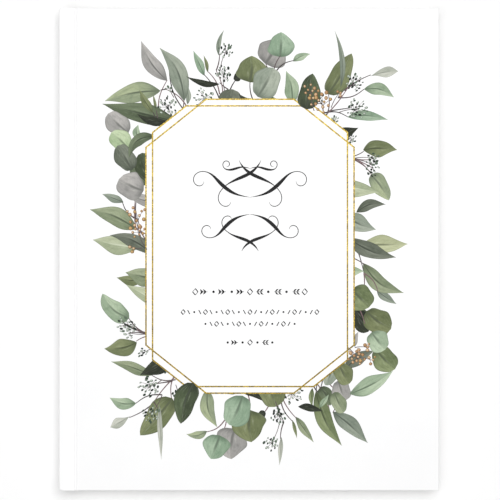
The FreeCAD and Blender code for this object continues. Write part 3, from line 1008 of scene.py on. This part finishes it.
def sprays(name, heads, shape):
    # thin branching stems that end in seeds or berries; each may have a rim round a paler middle
    draw = random.Random(shape["seed"])
    made = []
    twig = inkTone(*stalkInks[0])
    level = shape["level"]
    for root, middle, radius, number in heads:
        middle = middle + Vector((draw.uniform(-1, 1), draw.uniform(-1, 1))) * wreathChange["head"]
        made.append(strip(arcPath(root, middle, 0.05), stemShape(stemWidths["root"]), *strokeSteps["root"],
                          level - 0.5, twig, twig))
        outward = (middle - root).normalized()
        for index in range(number):
            angle = goldenAngle * index + draw.uniform(-0.3, 0.3)
            reach = radius * math.sqrt((index + 0.5) / number)
            spot = middle + Vector((math.cos(angle), math.sin(angle))) * reach
            if index % 2 == 0:
                inner = middle - outward * radius * 0.5 * draw.random()
                line = arcPath(inner, spot, draw.uniform(-0.1, 0.1))
                made.append(strip(line, stemShape(stemWidths["twig"]), *strokeSteps["twig"], level - 0.4,
                                  twig, twig))
            long = shape["size"] * draw.uniform(0.7, 1.3)
            wide = long * draw.uniform(*shape["squash"])
            tilt = math.atan2(spot.y - root.y, spot.x - root.x) + draw.uniform(-0.3, 0.3)
            height = level + 0.2 * draw.random()
            ink = inkTone(*draw.choice(shape["inks"]))
            if draw.random() < shape["rimmed"]:
                made.append(dot(spot, long, wide, tilt, height, inkTone(*shape["rim"])))
                inside = Vector((spot.x - 0.06 * long, spot.y + 0.05 * wide))
                filled = inkTone(*shape["pale"]) if shape["pale"] else ink
                made.append(dot(inside, 0.66 * long, 0.66 * wide, tilt, height + 0.5, filled))
            else:
                made.append(dot(spot, long, wide, tilt, height, ink))
    return printPiece(made, name, "seed", plainInk)


def headPlaces(heads, turns):
    return [turned((foot, centre), turn) + [radius, number]
            for turn in turns for centre, radius, number, foot in heads]


makeWreath()
makeStalks()
seedPlaces = headPlaces(seedHeads, halfTurns) + headPlaces(leftSeedHeads, (1,))
sprays("seed_sprays", seedPlaces, seedShape)
sprays("gold_berries", headPlaces(berryHeads, (1,)), berryShape)
print("wreath made")

# the two crossed octagon lines: half width, half height, corner cut across and up, in millimetres
frameShape = {"wide": (61.6, 87.0, 35.9, 28.7), "narrow": (57.7, 83.1, 20.3, 16.05), "line": 0.88}
panelLevel = 14


def bearing(x, y):
    return math.atan2(y, x) % math.tau


def octagon(name, size, grow, level):
    halfWide, halfHigh, cutX, cutY = size
    halfWide, halfHigh = halfWide + grow, halfHigh + grow
    corners = []
    for signX in (1, -1):
        for signY in (1, -1):
            corners.append((signX * halfWide, signY * (halfHigh - cutY)))
            corners.append((signX * (halfWide - cutX), signY * halfHigh))
    deselectAll()
    bpy.ops.mesh.primitive_circle_add(vertices=len(corners), radius=1, fill_type="NGON")
    obj = bpy.context.object
    obj.name = name
    ordered = sorted(obj.data.vertices, key=lambda vertex: bearing(vertex.co.x, vertex.co.y))
    for vertex, (x, y) in zip(ordered, sorted(corners, key=lambda corner: bearing(*corner))):
        spot = designCentre + Vector((x, y)) * mm
        vertex.co = (spot.x, spot.y, faceHeight + level * inkStep)
    return obj


def goldLine(name, size, level):
    line = octagon(name, size, frameShape["line"] / 2, level)
    pick(line)
    bpy.ops.object.mode_set(mode="EDIT")
    bpy.ops.mesh.select_all(action="SELECT")
    bpy.ops.mesh.inset(thickness=frameShape["line"] * mm)
    bpy.ops.mesh.delete(type="FACE")
    bpy.ops.object.mode_set(mode="OBJECT")
    return printPiece([line], name, "gold", goldFoil)


for index, key in enumerate(("wide", "narrow")):
    name = f"{key}_panel"
    printPiece([octagon(name, frameShape[key], 0, panelLevel + index)], name, "panel", coverSheet)
    goldLine(f"{key}_gold_line", frameShape[key], panelLevel + 3 + index)
print("gold frame made")

# pen scrolls, each drawn once for either side: start in millimetres from the frame's centre, heading in
# degrees, length, then how hard it bends at even stations, its thick width, and where the pen is pressed
penLine = 0.46
scrolls = [
    ((0, 29), 8, 51, (0.5, 2.5, 1, -6, -12, -20), 2.2, (0.05, 0.62)),
    ((-6.5, 51), -70, 47, (3.5, 2.5, -0.5, -3, -9, -17), 2.0, (0.0, 0.58)),
    ((0, 46), 20, 27, (-1.5, -3, 2, 9, 14, 18), 1.4, (0.1, 0.6)),
    ((0, 19), -10, 44, (-0.5, -2.5, -1, 6, 12, 20), 2.1, (0.05, 0.62)),
    ((-5, -3), 66, 38, (-3.5, -2.5, 0.5, 3, 9, 17), 1.8, (0.0, 0.58)),
]


def scrollPath(start, heading, length, bends, side, steps=160):
    # the line turns by the bend of the place it has reached
    spots = [Vector(start)]
    turn = math.radians(heading)
    for step in range(steps):
        station = (step + 0.5) / steps * (len(bends) - 1)
        index = min(int(station), len(bends) - 2)
        share = station - index
        share = share * share * (3 - 2 * share)
        turn += (bends[index] * (1 - share) + bends[index + 1] * share) / steps
        spots.append(spots[-1] + Vector((math.cos(turn), math.sin(turn))) * length / steps)

    def path(s):
        index = min(int(s * steps), steps - 1)
        spot = spots[index].lerp(spots[index + 1], s * steps - index)
        return designCentre + Vector((side * spot.x, spot.y)) * mm
    return path


def pressedPen(thick, pressed):
    def half(s):
        share = min(1.0, max(0.0, (s - pressed[0]) / (pressed[1] - pressed[0])))
        width = penLine + (thick - penLine) * math.sin(math.pi * share) ** 1.6
        ends = min(1.0, 10 * s + 0.3, 10 * (1 - s) + 0.3)
        return 0.5 * width * ends * mm
    return half


black = (0, 0, 0, 1)
strokes = []
for order, (start, heading, length, bends, thick, pressed) in enumerate(scrolls):
    for side in (1, -1):
        line = scrollPath(start, heading, length, bends, side)
        level = panelLevel + 3 + order + 0.3 * side
        strokes.append(strip(line, pressedPen(thick, pressed), *strokeSteps["pen"], level, black, black))
printPiece(strokes, "pen_scrolls", "pen", blackInk)
print("pen scrolls made")

# four rows of small printed marks: height above the frame's centre, size, spacing, marks from the middle out
markRows = [
    (-27, 3.8, 5.4, ["lozenge", "sprig", "dot", "sprig", "dot", "sprig", "lozenge"]),
    (-39, 3.0, 3.3, ["lozenge", "dash", "dot", "dash"] * 3 + ["lozenge"]),
    (-46, 3.0, 3.3, ["dot", "dash", "lozenge", "dash", "dot", "dash", "lozenge", "dash", "dot"]),
    (-57, 3.4, 4.4, ["lozenge", "dot", "sprig", "dot"]),
]


def markLine(start, end, width, level):
    line = arcPath(start, end, 0.0)
    return strip(line, lambda s: 0.5 * width * mm, *strokeSteps["mark"], level, black, black)


def lozenge(x, y, size, side, level):
    # two thick sides and two thin, as a broad pen draws them
    corners = [(x - 0.42 * size, y), (x, y + size / 2), (x + 0.42 * size, y), (x, y - size / 2)]
    return [markLine(corner, corners[(index + 1) % 4], (0.32, 0.62)[index % 2], level + 0.1 * index)
            for index, corner in enumerate(corners)]


def sprig(x, y, size, side, level):
    made = [markLine((x - 0.5 * size * side, y), (x + 0.6 * size * side, y), 0.3, level)]
    for rise in (1, -1):
        for step in (0, 1):
            foot = (x + (0.5 * step - 0.3) * size * side, y)
            tip = (foot[0] + 0.5 * size * side, y + 0.45 * size * rise)
            made.append(strip(arcPath(foot, tip, 0.1 * rise), lanceShape(0.24 * size), *strokeSteps["blade"],
                              level + 0.1, black, black))
    return made


def dash(x, y, size, side, level):
    aside, rise = 0.22 * size * side, 0.4 * size
    return [markLine((x - aside, y - rise), (x + aside, y + rise), 0.55, level)]


def roundDot(x, y, size, side, level):
    return [dot((x, y), 0.4 * size, 0.4 * size, 0.0, level, black, 14)]


markMakers = {"lozenge": lozenge, "sprig": sprig, "dash": dash, "dot": roundDot}
marks = []
for y, size, spacing, kinds in markRows:
    for index, kind in enumerate(kinds):
        for side in ((1,) if index == 0 else (1, -1)):
            marks += markMakers[kind](side * index * spacing, y, size, side, panelLevel + 3)
printPiece(marks, "printed_marks", "pen", blackInk)
print("printed marks made")


studio = {"cameraHeight": 1.2, "viewWidth": 0.2961, "sensor": 36.0, "aim": (0.59 * mm, -0.44 * mm),
          "world": 0.266, "floor": 0.92, "floorSize": 6, "floorDrop": 0.2 * mm}
# name, place, size and power of the lamps: a wide soft one from above, beyond the head of the book
lamps = [("keyLight", (0.45, 0.7, 3.3), 2.4, 80), ("fillLight", (-0.85, -0.45, 3.2), 2.6, 33.5)]


def makeStudio():
    deselectAll()
    bpy.ops.mesh.primitive_plane_add(size=studio["floorSize"], location=(0, 0, -studio["floorDrop"]))
    floor = bpy.context.object
    floor.name = "floor"
    material, _, shader, _ = startMaterial("paleFloor", 0.9)
    shader.inputs["Base Color"].default_value = (studio["floor"],) * 3 + (1,)
    floor.data.materials.append(material)

    world = bpy.data.worlds.new("studio")
    bpy.context.scene.world = world
    world.use_nodes = True
    background = world.node_tree.nodes["Background"]
    background.inputs["Color"].default_value = (1, 1, 1, 1)
    background.inputs["Strength"].default_value = studio["world"]

    for name, place, size, power in lamps:
        deselectAll()
        bpy.ops.object.light_add(type="AREA", location=place)
        lamp = bpy.context.object
        lamp.name = name
        lamp.data.size = size
        lamp.data.energy = power
        lamp.rotation_euler = (-Vector(place)).to_track_quat("-Z", "Y").to_euler()

    top = high("front_cover_wrap").z
    deselectAll()
    bpy.ops.object.camera_add(location=(*studio["aim"], top + studio["cameraHeight"]), rotation=(0, 0, 0))
    camera = bpy.context.object
    camera.name = "camera"
    camera.data.sensor_width = studio["sensor"]
    camera.data.lens = studio["sensor"] * studio["cameraHeight"] / studio["viewWidth"]
    bpy.context.scene.camera = camera
    bpy.context.scene.view_settings.view_transform = "Standard"


makeStudio()
print("studio made")
